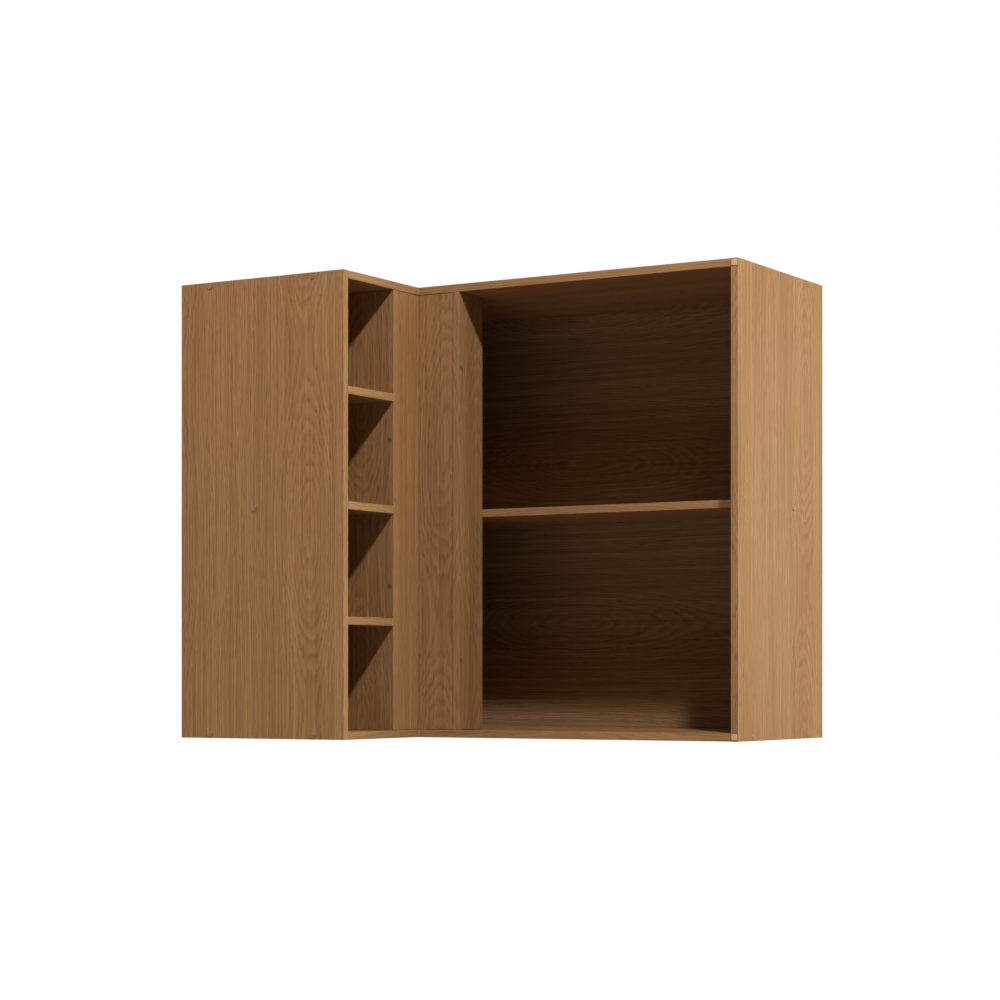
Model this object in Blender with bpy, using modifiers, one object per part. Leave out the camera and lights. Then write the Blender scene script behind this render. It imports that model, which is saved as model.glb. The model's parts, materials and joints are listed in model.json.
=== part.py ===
"""Open L-shaped corner wall cabinet of laminated board, in metres, +Z up.

The origin is on the main wall's plane, at mid width, at the height of the fixing screws.
The main wall is the plane Y = 0, the side wall is the plane X = -WIDTH / 2.
The wide compartment opens towards -Y and the narrow niche opens towards +X.
"""

import math

import bmesh
import bpy
from mathutils import Vector

# Overall sizes.
HEIGHT = 0.700
WIDTH = 0.852  # along the main wall
SIDE_LENGTH = 0.510  # along the side wall
MAIN_DEPTH = 0.304  # wall to front edge, wide compartment
NICHE_DEPTH = 0.304  # wall to front edge, niche
FIXING_DROP = 0.050  # top of the cabinet down to the fixing screws

# Boards.
BOARD = 0.012
BACK = 0.003
GAP = 0.0003  # clearance left between pieces that touch
REBATE_WIDTH = 0.006  # step in an end panel that takes the edge of a back
NICHE_WIDTH = 0.123  # clear width of the niche
NICHE_SHELVES = ("lower", "middle", "upper")
POST_WIDTH = 0.074  # inner corner to the wide opening
FILLER_RECESS = 0.001  # fillers stand this far behind the front edges
STILE_DEPTH = 0.070
UPRIGHT_WIDTH = 0.070

# Assembly screws and their cover caps.
SCREW_HEAD_RADIUS = 0.0046
SCREW_HEAD_HEIGHT = 0.0032
SCREW_RADIUS = 0.0024
SCREW_LENGTH = 0.045
SOCKET_RADIUS = 0.0020
SOCKET_DEPTH = 0.0030
CAP_RADIUS = SCREW_HEAD_RADIUS + 0.0008  # covers the head's countersink
CAP_HEIGHT = 0.0010
CAP_STEM_RADIUS = SOCKET_RADIUS - 0.0005
CAP_STEM_LENGTH = SOCKET_DEPTH - 0.0005
LEFT_SCREWS_FROM_FRONT = (0.056, 0.249)  # niche front edge to the end panel's screws
LEFT_SHELF_SCREW_FROM_FRONT = 0.166
RIGHT_SCREWS_FROM_FRONT = (0.052, 0.250)
RIGHT_SHELF_SCREW_FROM_FRONT = 0.195
DIVIDER_SCREW_FROM_FRONT = 0.150

# Small screws that hold the fillers.
SMALL_HEAD_RADIUS = 0.0035
SMALL_HEAD_HEIGHT = 0.0022
SMALL_RADIUS = 0.0017
SMALL_LENGTH = 0.035
CROSS_RADIUS = 0.0012
CROSS_DEPTH = 0.0014
DIVIDER_SMALL_SCREWS = 0.112  # above and below mid height
STILE_SMALL_SCREWS = 0.226
SMALL_SCREW_DROP = 0.005  # both pairs stand this far below mid height

# Dowels.
DOWEL_RADIUS = 0.003
DOWEL_LENGTH = 0.030
DOWEL_IN_PANEL = BOARD - 0.0035  # a blind hole leaves this much of the panel
SHELF_DOWEL_FROM_FRONT = 0.215
SHELF_SCREW_FROM_FRONT = 0.100
STILE_DOWEL_FROM_FRONT = 0.045

# Hanging brackets.
BRACKET_LEG = 0.038
BRACKET_HEIGHT = 0.030
BRACKET_METAL = 0.002
BRACKET_BEND = 0.0035  # outer radius of the bend
BRACKET_SCREWS = 0.008  # above and below the fixing height
BRACKET_SCREW_FROM_BEND = 0.026
WALL_HOLE_RADIUS = 0.0035
WALL_HOLE_FROM_BEND = 0.024
PAN_HEAD_RADIUS = 0.0035
PAN_HEAD_HEIGHT = 0.0020
PAN_RADIUS = 0.0016
PAN_LENGTH = BRACKET_METAL + GAP + BOARD - 0.0038  # from the bracket's face, short of the panel's far face

# Square pads on the right end panel's front edge.
PAD_SIDE = 0.009
PAD_THICKNESS = 0.001
PAD_FROM_END = 0.002

ROUND_SIDES = 12
CAP_SIDES = 16
CUTTER_SPARE = 0.001  # how far a cutter runs past the face it opens

# Planes that several pieces share.
SIDE_WALL_X = -WIDTH / 2
RIGHT_X = WIDTH / 2
NICHE_FRONT_X = SIDE_WALL_X + NICHE_DEPTH
MAIN_FRONT_Y = -MAIN_DEPTH
END_Y = -SIDE_LENGTH
TOP_Z = FIXING_DROP
BOTTOM_Z = TOP_Z - HEIGHT
MIDDLE_Z = (TOP_Z + BOTTOM_Z) / 2
INNER_X = SIDE_WALL_X + BACK + GAP  # boards start clear of the side back
INNER_Y = -BACK - GAP  # boards end clear of the main back
LOW_Z = BOTTOM_Z + BOARD + GAP  # uprights stand clear of the bottom
HIGH_Z = TOP_Z - BOARD - GAP
LEFT_END_INNER_Y = END_Y + BOARD
RIGHT_END_INNER_X = RIGHT_X - BOARD
DIVIDER_Y = LEFT_END_INNER_Y + NICHE_WIDTH
STILE_RIGHT_X = NICHE_FRONT_X + POST_WIDTH
STILE_LEFT_X = STILE_RIGHT_X - BOARD
FILLER_X = NICHE_FRONT_X - FILLER_RECESS
FILLER_Y = MAIN_FRONT_Y + FILLER_RECESS
MAIN_SHELF_FRONT_Y = MAIN_FRONT_Y + STILE_DEPTH + GAP

PARTS = "corner_wall_cabinet"
CUTTERS = "cutters"

BOARD_FINISH = ((0.26, 0.13, 0.055, 1.0), 0.55, 0.0)
BACK_FINISH = ((0.24, 0.12, 0.05, 1.0), 0.6, 0.0)
CAP_FINISH = ((0.27, 0.14, 0.06, 1.0), 0.4, 0.0)
STEEL_FINISH = ((0.55, 0.56, 0.57, 1.0), 0.35, 1.0)
LACQUER_FINISH = ((0.30, 0.16, 0.075, 1.0), 0.4, 0.0)
BEECH_FINISH = ((0.55, 0.36, 0.2, 1.0), 0.7, 0.0)
PAD_FINISH = ((0.5, 0.36, 0.24, 1.0), 0.8, 0.0)


def clear_scene():
    for item in list(bpy.data.objects):
        bpy.data.objects.remove(item, do_unlink=True)


def collection(name):
    found = bpy.data.collections.new(name)
    bpy.context.scene.collection.children.link(found)
    return found


def material(name, finish):
    color, roughness, metallic = finish
    made = bpy.data.materials.new(name)
    made.use_nodes = True
    shader = made.node_tree.nodes["Principled BSDF"]
    shader.inputs["Base Color"].default_value = color
    shader.inputs["Roughness"].default_value = roughness
    shader.inputs["Metallic"].default_value = metallic
    return made


def place_part(piece, finish):
    piece.data.materials.append(material(piece.name, finish))
    bpy.data.collections[PARTS].objects.link(piece)
    return piece


def place_cutter(piece):
    piece.hide_render = True
    piece.display_type = "WIRE"
    bpy.data.collections[CUTTERS].objects.link(piece)
    return piece


def box(name, low, high):
    """A box between two corners: a unit cube scaled in its mesh, with its origin at its middle."""
    mesh = bpy.data.meshes.new(name)
    shape = bmesh.new()
    bmesh.ops.create_cube(shape, size=1.0)
    bmesh.ops.scale(shape, vec=Vector(high) - Vector(low), verts=shape.verts)
    shape.to_mesh(mesh)
    shape.free()
    piece = bpy.data.objects.new(name, mesh)
    piece.location = (Vector(high) + Vector(low)) / 2
    return piece


def turned(name, profile, sides, point, direction):
    """A profile of (radius, height) turned round Z. Its -Z then points along direction from point."""
    mesh = bpy.data.meshes.new(name)
    vertices = [(radius, 0.0, height) for radius, height in profile]
    edges = [(i, i + 1) for i in range(len(vertices) - 1)]
    mesh.from_pydata(vertices, edges, [])
    piece = bpy.data.objects.new(name, mesh)
    turn = piece.modifiers.new("turn", "SCREW")
    turn.axis = "Z"
    turn.angle = 2 * math.pi
    turn.screw_offset = 0.0
    turn.steps = sides
    turn.render_steps = sides
    turn.use_merge_vertices = True
    turn.merge_threshold = 0.00001
    piece.location = point
    piece.rotation_mode = "QUATERNION"
    piece.rotation_quaternion = Vector((0, 0, -1)).rotation_difference(Vector(direction))
    return piece


def cut(pieces, cutter):
    for piece in pieces:
        hole = piece.modifiers.new("cut", "BOOLEAN")
        hole.operation = "DIFFERENCE"
        hole.solver = "EXACT"
        hole.object = cutter


def hole(name, pieces, profile, point, direction):
    """Cuts one turned hole through every piece that it meets."""
    cutter = place_cutter(turned(f"{name}_hole", profile, ROUND_SIDES, point, direction))
    cut(pieces, cutter)


def countersunk(name, pieces, point, direction, head, shank, length, socket, finish):
    """A countersunk screw whose head is flush at point, and its hole through pieces."""
    head_radius, head_height = head
    socket_radius, socket_depth = socket
    tip_start = shank - length
    profile = [
        (0.0, -socket_depth),
        (socket_radius, -socket_depth),
        (socket_radius, 0.0),
        (head_radius, 0.0),
        (shank, -head_height),
        (shank, tip_start),
        (0.0, -length),
    ]
    clear = [
        (0.0, CUTTER_SPARE),
        (head_radius + GAP, CUTTER_SPARE),
        (head_radius + GAP, -GAP),
        (shank + GAP, -head_height - GAP),
        (shank + GAP, -length - GAP),
        (0.0, -length - GAP),
    ]
    hole(name, pieces, clear, point, direction)
    place_part(turned(name, profile, ROUND_SIDES, point, direction), finish)


def assembly_screw(name, pieces, point, direction):
    head = (SCREW_HEAD_RADIUS, SCREW_HEAD_HEIGHT)
    socket = (SOCKET_RADIUS, SOCKET_DEPTH)
    countersunk(name, pieces, point, direction, head, SCREW_RADIUS, SCREW_LENGTH, socket, STEEL_FINISH)


def small_screw(name, pieces, point, direction):
    head = (SMALL_HEAD_RADIUS, SMALL_HEAD_HEIGHT)
    socket = (CROSS_RADIUS, CROSS_DEPTH)
    countersunk(name, pieces, point, direction, head, SMALL_RADIUS, SMALL_LENGTH, socket, LACQUER_FINISH)


def cover_cap(name, point, direction):
    """A low domed disc over a screw head, with a stem in the screw's socket."""
    profile = [
        (0.0, GAP + CAP_HEIGHT),
        (CAP_RADIUS * 0.6, GAP + CAP_HEIGHT * 0.9),
        (CAP_RADIUS * 0.9, GAP + CAP_HEIGHT * 0.55),
        (CAP_RADIUS, GAP + CAP_HEIGHT * 0.2),
        (CAP_RADIUS, GAP),
        (CAP_STEM_RADIUS, GAP),
        (CAP_STEM_RADIUS, -CAP_STEM_LENGTH),
        (0.0, -CAP_STEM_LENGTH),
    ]
    place_part(turned(name, profile, CAP_SIDES, point, direction), CAP_FINISH)


def capped_screw(name, pieces, point, direction):
    assembly_screw(f"screw_{name}", pieces, point, direction)
    cover_cap(f"cap_{name}", point, direction)


def dowel(name, pieces, point, direction):
    """A chamfered dowel that starts in a panel behind point and runs on along direction."""
    chamfer = DOWEL_RADIUS * 0.25
    top = DOWEL_IN_PANEL
    bottom = DOWEL_IN_PANEL - DOWEL_LENGTH
    profile = [
        (0.0, top),
        (DOWEL_RADIUS - chamfer, top),
        (DOWEL_RADIUS, top - chamfer),
        (DOWEL_RADIUS, bottom + chamfer),
        (DOWEL_RADIUS - chamfer, bottom),
        (0.0, bottom),
    ]
    clear = [
        (0.0, top + GAP),
        (DOWEL_RADIUS + GAP, top + GAP),
        (DOWEL_RADIUS + GAP, bottom - GAP),
        (0.0, bottom - GAP),
    ]
    hole(name, pieces, clear, point, direction)
    place_part(turned(name, profile, ROUND_SIDES, point, direction), BEECH_FINISH)


def pan_screw(name, pieces, point, direction):
    """A short pan-head screw that clamps a bracket whose face is at point."""
    profile = [
        (0.0, GAP + PAN_HEAD_HEIGHT),
        (PAN_HEAD_RADIUS * 0.7, GAP + PAN_HEAD_HEIGHT * 0.9),
        (PAN_HEAD_RADIUS, GAP + PAN_HEAD_HEIGHT * 0.4),
        (PAN_HEAD_RADIUS, GAP),
        (PAN_RADIUS, GAP),
        (PAN_RADIUS, PAN_RADIUS - PAN_LENGTH),
        (0.0, -PAN_LENGTH),
    ]
    clear = [
        (0.0, CUTTER_SPARE),
        (PAN_RADIUS + GAP, CUTTER_SPARE),
        (PAN_RADIUS + GAP, -PAN_LENGTH - GAP),
        (0.0, -PAN_LENGTH - GAP),
    ]
    hole(name, pieces, clear, point, direction)
    place_part(turned(name, profile, ROUND_SIDES, point, direction), STEEL_FINISH)


def bracket(name, corner, along_panel, along_back):
    """A steel angle: an L outline with a round bend, extruded to its height.

    corner is the outer corner of the bend. along_panel and along_back are the unit directions of the two legs.
    """
    bend_steps = 4
    inner_radius = BRACKET_BEND - BRACKET_METAL
    centre = Vector((BRACKET_BEND, BRACKET_BEND))
    angles = [math.pi + math.pi / 2 * i / bend_steps for i in range(bend_steps + 1)]
    outer = [centre + BRACKET_BEND * Vector((math.cos(a), math.sin(a))) for a in angles]
    inner = [centre + inner_radius * Vector((math.cos(a), math.sin(a))) for a in reversed(angles)]
    outline = [
        Vector((0, BRACKET_LEG)),
        *outer,
        Vector((BRACKET_LEG, 0)),
        Vector((BRACKET_LEG, BRACKET_METAL)),
        *inner,
        Vector((BRACKET_METAL, BRACKET_LEG)),
    ]
    curve = bpy.data.curves.new(name, "CURVE")
    curve.dimensions = "2D"
    curve.fill_mode = "BOTH"
    curve.extrude = BRACKET_HEIGHT / 2
    spline = curve.splines.new("POLY")
    spline.points.add(len(outline) - 1)
    panel_side = Vector(along_panel)
    back_side = Vector(along_back)
    for point, flat in zip(spline.points, outline):
        place = panel_side * flat.x + back_side * flat.y
        point.co = (place.x, place.y, 0.0, 1.0)
    spline.use_cyclic_u = True
    guide = bpy.data.objects.new(f"{name}_outline", curve)
    bpy.data.collections[CUTTERS].objects.link(guide)
    bpy.context.view_layer.update()
    evaluated = guide.evaluated_get(bpy.context.evaluated_depsgraph_get())
    mesh = bpy.data.meshes.new_from_object(evaluated)
    bpy.data.objects.remove(guide, do_unlink=True)
    shape = bmesh.new()
    shape.from_mesh(mesh)
    bmesh.ops.remove_doubles(shape, verts=shape.verts, dist=0.00001)
    bmesh.ops.recalc_face_normals(shape, faces=shape.faces)
    shape.to_mesh(mesh)
    shape.free()
    piece = bpy.data.objects.new(name, mesh)
    piece.location = corner
    return place_part(piece, STEEL_FINISH)


def board(name, low, high, finish=BOARD_FINISH):
    return place_part(box(name, low, high), finish)


def notch(pieces, name, low, high):
    cut(pieces, place_cutter(box(f"{name}_notch", low, high)))


def l_board(name, low_z):
    """Top or bottom: one board over both wings, with the room's corner cut out of it."""
    low = (INNER_X, LEFT_END_INNER_Y + GAP, low_z)
    high = (RIGHT_END_INNER_X - GAP, INNER_Y, low_z + BOARD)
    piece = board(name, low, high)
    corner_low = (NICHE_FRONT_X, low[1] - CUTTER_SPARE, low_z - CUTTER_SPARE)
    corner_high = (high[0] + CUTTER_SPARE, MAIN_FRONT_Y, high[2] + CUTTER_SPARE)
    notch([piece], name, corner_low, corner_high)
    return piece


def end_panels():
    """The two outer ends, each with a rebate for the edge of its back."""
    step = BACK + GAP
    left = board("left_end_panel", (SIDE_WALL_X, END_Y, BOTTOM_Z), (NICHE_FRONT_X, LEFT_END_INNER_Y, TOP_Z))
    notch(
        [left],
        "left_end_panel",
        (SIDE_WALL_X - CUTTER_SPARE, LEFT_END_INNER_Y - REBATE_WIDTH, BOTTOM_Z - CUTTER_SPARE),
        (SIDE_WALL_X + step, LEFT_END_INNER_Y + CUTTER_SPARE, TOP_Z + CUTTER_SPARE),
    )
    right = board("right_end_panel", (RIGHT_END_INNER_X, MAIN_FRONT_Y, BOTTOM_Z), (RIGHT_X, 0.0, TOP_Z))
    notch(
        [right],
        "right_end_panel",
        (RIGHT_END_INNER_X - CUTTER_SPARE, -step, BOTTOM_Z - CUTTER_SPARE),
        (RIGHT_END_INNER_X + REBATE_WIDTH, CUTTER_SPARE, TOP_Z + CUTTER_SPARE),
    )
    return left, right


def backs():
    """Two thin backs that meet in the room's corner and run into the end panels' rebates."""
    side = board(
        "back_panel_side",
        (SIDE_WALL_X, LEFT_END_INNER_Y - REBATE_WIDTH + GAP, BOTTOM_Z),
        (SIDE_WALL_X + BACK, 0.0, TOP_Z),
        BACK_FINISH,
    )
    main = board(
        "back_panel_main",
        (SIDE_WALL_X + BACK + GAP, -BACK, BOTTOM_Z),
        (RIGHT_END_INNER_X + REBATE_WIDTH - GAP, 0.0, TOP_Z),
        BACK_FINISH,
    )
    return side, main


def niche_shelves():
    """Shelves that share the niche's height equally. Gives each one and its mid height, by name."""
    clear = HEIGHT - 2 * BOARD
    spaces = len(NICHE_SHELVES) + 1
    opening = (clear - len(NICHE_SHELVES) * BOARD) / spaces
    shelves = {}
    for number, name in enumerate(NICHE_SHELVES):
        low_z = BOTTOM_Z + BOARD + opening + number * (opening + BOARD)
        low = (INNER_X, LEFT_END_INNER_Y + GAP, low_z)
        high = (NICHE_FRONT_X, DIVIDER_Y - GAP, low_z + BOARD)
        shelves[name] = (board(f"niche_shelf_{name}", low, high), low_z + BOARD / 2)
    return shelves


def fasten_end_panels(left, right, top, bottom, middle_shelf, main_shelf):
    """Capped screws through the end panels into the top, the bottom and one shelf each."""
    levels = (("top", top, TOP_Z - BOARD / 2), ("bottom", bottom, BOTTOM_Z + BOARD / 2))
    for level, panel, z in levels:
        for row, from_front in zip(("front", "rear"), LEFT_SCREWS_FROM_FRONT):
            point = (NICHE_FRONT_X - from_front, END_Y, z)
            capped_screw(f"left_{level}_{row}", [left, panel], point, (0, 1, 0))
        for row, from_front in zip(("front", "rear"), RIGHT_SCREWS_FROM_FRONT):
            point = (RIGHT_X, MAIN_FRONT_Y + from_front, z)
            capped_screw(f"right_{level}_{row}", [right, panel], point, (-1, 0, 0))
    shelf, z = middle_shelf
    point = (NICHE_FRONT_X - LEFT_SHELF_SCREW_FROM_FRONT, END_Y, z)
    capped_screw("left_shelf", [left, shelf], point, (0, 1, 0))
    point = (RIGHT_X, MAIN_FRONT_Y + RIGHT_SHELF_SCREW_FROM_FRONT, MIDDLE_Z)
    capped_screw("right_shelf", [right, main_shelf], point, (-1, 0, 0))


def fasten_divider(divider, left, top, bottom, shelves, filler):
    """Screws from above, from below and from the blind side, and dowels where no cap shows."""
    divider_back_y = DIVIDER_Y + BOARD
    middle_y = DIVIDER_Y + BOARD / 2
    x = NICHE_FRONT_X - DIVIDER_SCREW_FROM_FRONT
    assembly_screw("screw_divider_top", [top, divider], (x, middle_y, TOP_Z), (0, 0, -1))
    assembly_screw("screw_divider_bottom", [bottom, divider], (x, middle_y, BOTTOM_Z), (0, 0, 1))
    for name, (shelf, z) in shelves.items():
        screw_x = NICHE_FRONT_X - SHELF_SCREW_FROM_FRONT
        assembly_screw(f"screw_divider_{name}", [divider, shelf], (screw_x, divider_back_y, z), (0, -1, 0))
    for name in ("lower", "upper"):
        shelf, z = shelves[name]
        dowel_x = NICHE_FRONT_X - SHELF_DOWEL_FROM_FRONT
        dowel(f"dowel_shelf_{name}", [left, shelf], (dowel_x, LEFT_END_INNER_Y, z), (0, 1, 0))
    for level, offset in (("upper", DIVIDER_SMALL_SCREWS), ("lower", -DIVIDER_SMALL_SCREWS)):
        point = (FILLER_X - BOARD / 2, DIVIDER_Y, MIDDLE_Z - SMALL_SCREW_DROP + offset)
        small_screw(f"screw_filler_niche_{level}", [divider, filler], point, (0, 1, 0))


def fasten_stile(stile, filler, top, bottom, main_shelf):
    """Dowels into the top, the bottom and the shelf behind it, and small screws into the filler's edge."""
    middle_x = STILE_LEFT_X + BOARD / 2
    y = MAIN_FRONT_Y + STILE_DOWEL_FROM_FRONT
    dowel("dowel_stile_top", [top, stile], (middle_x, y, TOP_Z - BOARD), (0, 0, -1))
    dowel("dowel_stile_bottom", [bottom, stile], (middle_x, y, BOTTOM_Z + BOARD), (0, 0, 1))
    point = (middle_x, MAIN_SHELF_FRONT_Y, MIDDLE_Z)
    dowel("dowel_stile_shelf", [stile, main_shelf], point, (0, -1, 0))
    for level, offset in (("upper", STILE_SMALL_SCREWS), ("lower", -STILE_SMALL_SCREWS)):
        point = (STILE_RIGHT_X, FILLER_Y + BOARD / 2, MIDDLE_Z - SMALL_SCREW_DROP + offset)
        small_screw(f"screw_filler_main_{level}", [stile, filler], point, (-1, 0, 0))


def fasten_upright(upright, top, bottom, main_shelf):
    x = INNER_X + BOARD / 2
    y = INNER_Y - UPRIGHT_WIDTH / 2
    assembly_screw("screw_upright_top", [top, upright], (x, y, TOP_Z), (0, 0, -1))
    assembly_screw("screw_upright_bottom", [bottom, upright], (x, y, BOTTOM_Z), (0, 0, 1))
    assembly_screw("screw_upright_shelf", [upright, main_shelf], (INNER_X, y, MIDDLE_Z), (1, 0, 0))


def wall_hole(name, pieces, point, direction):
    reach = BACK + BOARD + 2 * CUTTER_SPARE
    profile = [
        (0.0, CUTTER_SPARE),
        (WALL_HOLE_RADIUS, CUTTER_SPARE),
        (WALL_HOLE_RADIUS, -reach),
        (0.0, -reach),
    ]
    hole(name, pieces, profile, point, direction)


def hang(left, right, side_back, main_back, upright):
    """A bracket at each free end, and a hole through the corner upright, all at the fixing height."""
    screw_rows = (("upper", BRACKET_SCREWS), ("lower", -BRACKET_SCREWS))

    corner = (RIGHT_END_INNER_X - GAP, INNER_Y, 0.0)
    angle = bracket("bracket_right", corner, (0, -1, 0), (-1, 0, 0))
    hole_x = RIGHT_END_INNER_X - WALL_HOLE_FROM_BEND
    wall_hole("bracket_right", [angle, main_back], (hole_x, 0.0, 0.0), (0, -1, 0))
    for row, z in screw_rows:
        point = (corner[0] - BRACKET_METAL, INNER_Y - BRACKET_SCREW_FROM_BEND, z)
        pan_screw(f"screw_bracket_right_{row}", [angle, right], point, (1, 0, 0))

    corner = (INNER_X, LEFT_END_INNER_Y + GAP, 0.0)
    angle = bracket("bracket_left", corner, (1, 0, 0), (0, 1, 0))
    hole_y = LEFT_END_INNER_Y + WALL_HOLE_FROM_BEND
    wall_hole("bracket_left", [angle, side_back], (SIDE_WALL_X, hole_y, 0.0), (1, 0, 0))
    for row, z in screw_rows:
        point = (INNER_X + BRACKET_SCREW_FROM_BEND, corner[1] + BRACKET_METAL, z)
        pan_screw(f"screw_bracket_left_{row}", [angle, left], point, (0, -1, 0))

    hole_y = INNER_Y - UPRIGHT_WIDTH / 2
    wall_hole("upright", [upright, side_back], (SIDE_WALL_X, hole_y, 0.0), (1, 0, 0))


def pads():
    """Two square pads on the right end panel's front edge, one near each end."""
    middle_x = RIGHT_X - BOARD / 2
    half = PAD_SIDE / 2
    front_y = MAIN_FRONT_Y - GAP - PAD_THICKNESS
    places = (
        ("upper", TOP_Z - PAD_FROM_END - PAD_SIDE),
        ("lower", BOTTOM_Z + PAD_FROM_END),
    )
    for level, low_z in places:
        low = (middle_x - half, front_y, low_z)
        high = (middle_x + half, MAIN_FRONT_Y - GAP, low_z + PAD_SIDE)
        board(f"pad_{level}", low, high, PAD_FINISH)


def build():
    clear_scene()
    collection(PARTS)
    collection(CUTTERS)

    left, right = end_panels()
    top = l_board("top_panel", TOP_Z - BOARD)
    bottom = l_board("bottom_panel", BOTTOM_Z)
    side_back, main_back = backs()

    divider = board(
        "niche_divider",
        (INNER_X, DIVIDER_Y, LOW_Z),
        (NICHE_FRONT_X, DIVIDER_Y + BOARD, HIGH_Z),
    )
    shelves = niche_shelves()
    filler_niche = board(
        "corner_filler_niche",
        (FILLER_X - BOARD, DIVIDER_Y + BOARD + GAP, LOW_Z),
        (FILLER_X, FILLER_Y - GAP, HIGH_Z),
    )
    filler_main = board(
        "corner_filler_main",
        (FILLER_X - BOARD, FILLER_Y, LOW_Z),
        (STILE_LEFT_X - GAP, FILLER_Y + BOARD, HIGH_Z),
    )
    stile = board(
        "main_stile",
        (STILE_LEFT_X, MAIN_FRONT_Y, LOW_Z),
        (STILE_RIGHT_X, MAIN_FRONT_Y + STILE_DEPTH, HIGH_Z),
    )
    upright = board(
        "rear_corner_upright",
        (INNER_X, INNER_Y - UPRIGHT_WIDTH, LOW_Z),
        (INNER_X + BOARD, INNER_Y, HIGH_Z),
    )
    main_shelf = board(
        "main_shelf",
        (INNER_X + BOARD + GAP, MAIN_SHELF_FRONT_Y, MIDDLE_Z - BOARD / 2),
        (RIGHT_END_INNER_X - GAP, INNER_Y, MIDDLE_Z + BOARD / 2),
    )

    fasten_end_panels(left, right, top, bottom, shelves["middle"], main_shelf)
    fasten_divider(divider, left, top, bottom, shelves, filler_niche)
    fasten_stile(stile, filler_main, top, bottom, main_shelf)
    fasten_upright(upright, top, bottom, main_shelf)
    hang(left, right, side_back, main_back, upright)
    pads()


build()
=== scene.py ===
import json
import math

import bpy
import numpy as np
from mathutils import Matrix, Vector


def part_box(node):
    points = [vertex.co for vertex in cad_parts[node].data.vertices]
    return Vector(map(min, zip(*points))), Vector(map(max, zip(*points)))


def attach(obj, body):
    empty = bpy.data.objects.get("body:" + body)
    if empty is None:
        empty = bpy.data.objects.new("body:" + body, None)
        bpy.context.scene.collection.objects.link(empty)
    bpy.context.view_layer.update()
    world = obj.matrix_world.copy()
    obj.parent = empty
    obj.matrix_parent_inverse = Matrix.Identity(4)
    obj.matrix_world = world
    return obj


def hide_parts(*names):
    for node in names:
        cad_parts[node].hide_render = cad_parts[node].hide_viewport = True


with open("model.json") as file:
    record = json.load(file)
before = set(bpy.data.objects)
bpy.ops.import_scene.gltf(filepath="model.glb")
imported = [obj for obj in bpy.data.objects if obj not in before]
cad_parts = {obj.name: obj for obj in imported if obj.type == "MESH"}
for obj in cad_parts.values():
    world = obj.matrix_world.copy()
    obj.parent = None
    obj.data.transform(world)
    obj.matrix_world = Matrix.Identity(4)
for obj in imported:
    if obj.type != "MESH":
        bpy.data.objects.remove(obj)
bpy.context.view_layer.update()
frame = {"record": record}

node_names = [entry["node"] for entry in frame["record"]["subparts"]]

# ---------------------------------------------------------------- sizes, in metres

MM = 0.001
PI = math.pi
GAP = 0.3 * MM  # clearance between parts that touch

EASED_EDGE = 0.6 * MM  # round that the edge-bander's scraper leaves along a board's edges
EASED_CORNER = 0.9 * MM  # round at a board's corners
EDGE_STEPS = 4

RING = 4.0 * MM  # one growth ring, drawn about twice as wide as real so that it shows
PLANK = 260 * MM  # width of one printed plank, heart line to heart line
EYE = 550 * MM  # length of print from one swelling of the rings to the next
BACK_EYE_HEIGHT = 215 * MM  # the backs' heart line lies this far below the fixing screws
EDGE_FROM_HEART = 0.3 * PLANK  # edge bands are printed this far to the side of the heart line
UNDERSIDE_EYES = 40  # a board's other face is printed this many eyes further along

CAP_PROUD = 1.3 * MM
CAP_SHOULDER = 1.9 * MM
PAD_EDGE = 0.35 * MM
PAD_CORNER = 1.2 * MM
SCREW_STEPS = 48
HEAD_PROUD = 0.15 * MM  # screw heads stand this far out of the wood
HEAD_RIM = 0.5 * MM
HEAD_CHAMFER = 0.15 * MM
RECESS_RINGS = 26
THREAD_PITCH = 1.8 * MM
THREAD_DEPTH = 0.45  # thread's height over the core's radius
CORE_SHARE = 0.42  # core's radius over the head's
CROSS_ARM = 0.55 * MM
CROSS_REACH = 2.0 * MM
CROSS_DEPTH = 1.5 * MM
HEXAGON_HALF = 1.55 * MM
HEXAGON_DEPTH = 2.4 * MM

SHEET_EDGE = 0.15 * MM
SHEET_CORNER = 0.4 * MM
WALL_HOLE = 3.5 * MM
HOLE_FROM_PANEL = 24 * MM
NAIL_HEAD = 1.9 * MM
NAIL_PROUD = 0.25 * MM
NAIL_PITCH = 95 * MM
NAIL_INSET = 6 * MM
X, Y, Z = 0, 1, 2


# ---------------------------------------------------------------- small tools


def linear(color):
    """An sRGB hex colour as linear red, green, blue and alpha."""
    srgb = np.array([int(color[i:i + 2], 16) for i in (1, 3, 5)]) / 255
    low = srgb / 12.92
    high = ((srgb + 0.055) / 1.055) ** 2.4
    return (*np.where(srgb <= 0.04045, low, high).tolist(), 1.0)


def add(tree, kind, inputs=None, **settings):
    """Adds one node, sets its settings, and gives each input a value, an output or a node's first output."""
    node = tree.nodes.new(kind)
    for name, value in settings.items():
        setattr(node, name, value)
    for name, value in (inputs or {}).items():
        if isinstance(value, bpy.types.Node):
            value = value.outputs[0]
        if isinstance(value, bpy.types.NodeSocket):
            tree.links.new(value, node.inputs[name])
        else:
            node.inputs[name].default_value = value
    return node


def gray(level):
    """An opaque gray of this linear level."""
    return (level, level, level, 1.0)


def new_material(name):
    """A material with one Principled shader: the material, its node tree and the shader."""
    made = bpy.data.materials.new(name)
    made.use_nodes = True
    return made, made.node_tree, made.node_tree.nodes["Principled BSDF"]


def set_ramp(node, stops):
    """Writes (position, colour) stops into a colour ramp."""
    elements = node.color_ramp.elements
    while len(elements) < len(stops):
        elements.new(0.5)
    for element, (position, color) in zip(elements, stops):
        element.position = position
        element.color = color


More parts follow.
